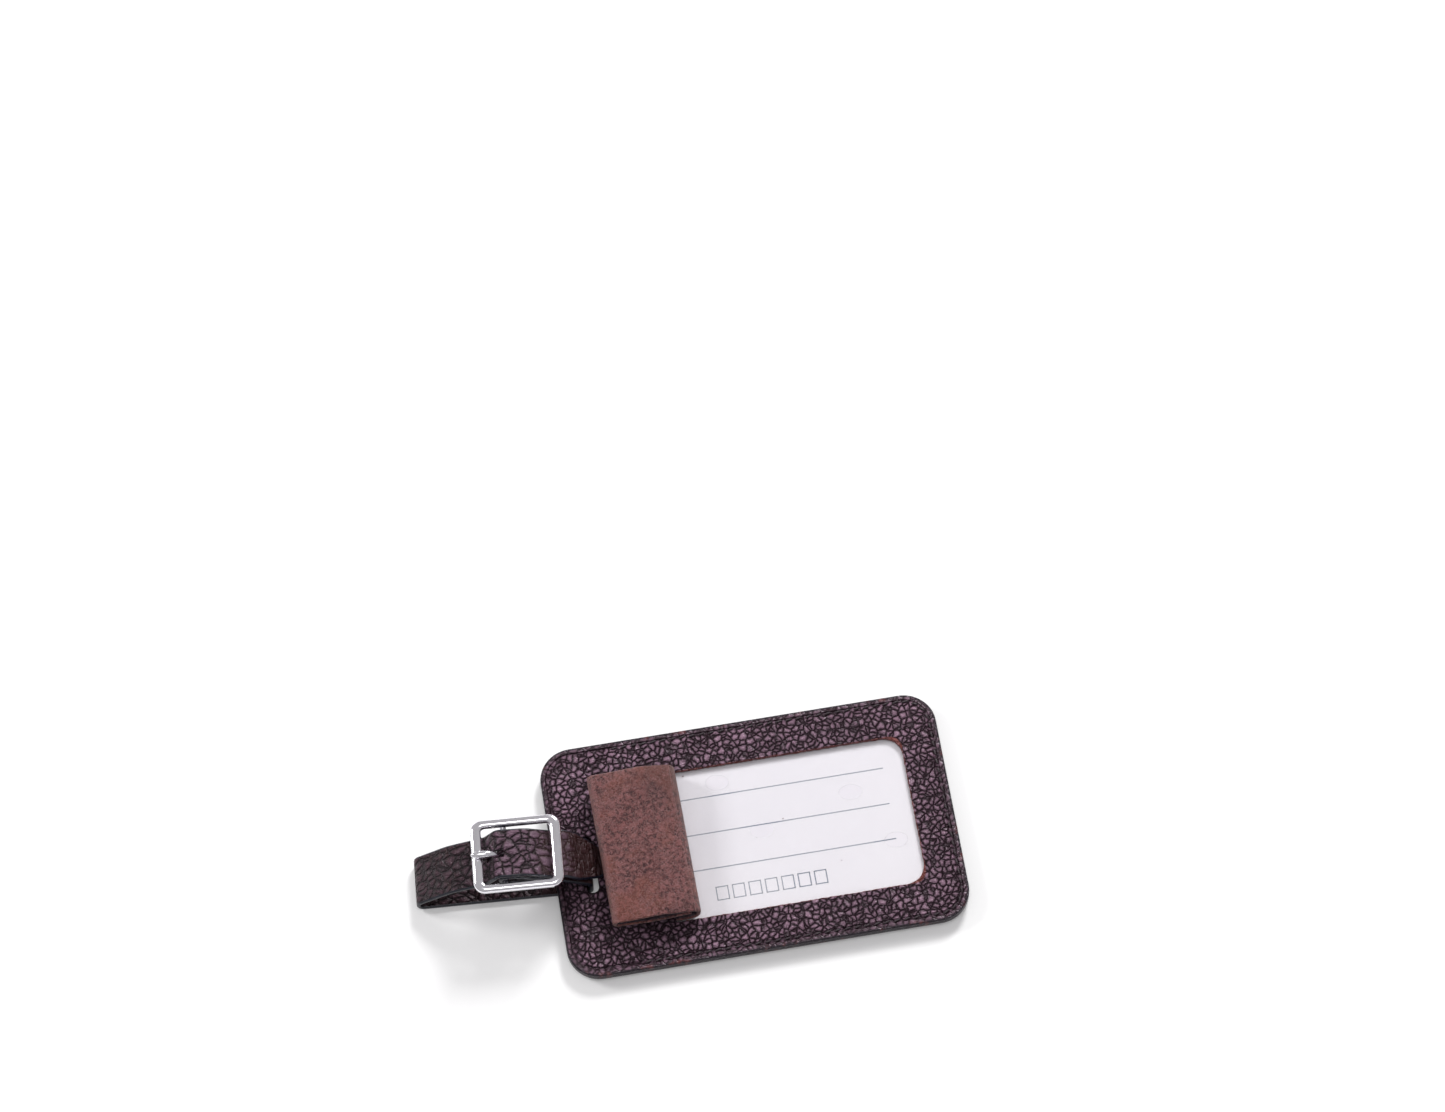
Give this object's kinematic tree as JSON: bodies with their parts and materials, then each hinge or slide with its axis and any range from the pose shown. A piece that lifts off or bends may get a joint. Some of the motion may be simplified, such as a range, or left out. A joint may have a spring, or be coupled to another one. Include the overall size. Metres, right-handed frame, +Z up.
{
  "type": "luggage tag",
  "caption": "Leather luggage tag: stitched panels with a card window, a roll-back privacy flap and a buckled strap loop through an end slot.",
  "frame": {"origin": "middle of the whole object's base, at the level of the surface that it lies on", "axes": "+X along the tag's length, away from the strap; +Y across the tag; +Z up, out of the window"},
  "size_m": [0.1482, 0.067, 0.0199],
  "materials": {
    "leather_front": "pebbled dark brown leather with painted edge",
    "leather_back": "pebbled dark brown leather",
    "suede": "brown suede, the flesh side of the leather",
    "strap_leather": "pebbled dark brown leather with black painted edge",
    "film": "clear glossy film",
    "card": "off-white printed card",
    "thread": "waxed dark thread",
    "metal": "polished cast metal"
  },
  "bodies": {
    "tag": {"front_panel": "leather_front", "back_panel": "leather_back", "window_film": "film", "front_stitches": "thread", "back_stitches": "thread", "flap_root": "suede"},
    "card": {"id_card": "card"},
    "flap": {"privacy_flap": "suede"},
    "strap": {"strap": "strap_leather", "strap_stitches": "thread"},
    "buckle": {"buckle_frame": "metal", "buckle_bar": "metal"},
    "prong": {"buckle_prong": "metal"}
  },
  "joints": [
    {"name": "card_slide", "type": "slide", "parent": "tag", "child": "card", "axis": [-1, 0, 0], "range_m": [0, 0.005]},
    {"name": "flap_open", "type": "hinge", "parent": "tag", "child": "flap", "pos_m": [0.00144, 0, 0.0066], "axis": [0, 1, 0], "range_deg": [0, 150]},
    {"name": "strap_sway", "type": "hinge", "parent": "tag", "child": "strap", "pos_m": [-0.02616, -0.0012, 0.004], "axis": [0, 0, 1], "range_deg": [-3, 3]},
    {"name": "buckle_tilt", "type": "hinge", "parent": "strap", "child": "buckle", "pos_m": [-0.04831, 0.00035, 0.0149], "axis": [-0.0698, -0.9976, 0], "range_deg": [0, 4]},
    {"name": "prong_lift", "type": "hinge", "parent": "buckle", "child": "prong", "pos_m": [-0.04831, 0.00035, 0.0149], "axis": [0.0698, 0.9976, 0], "range_deg": [0, 10]}
  ]
}
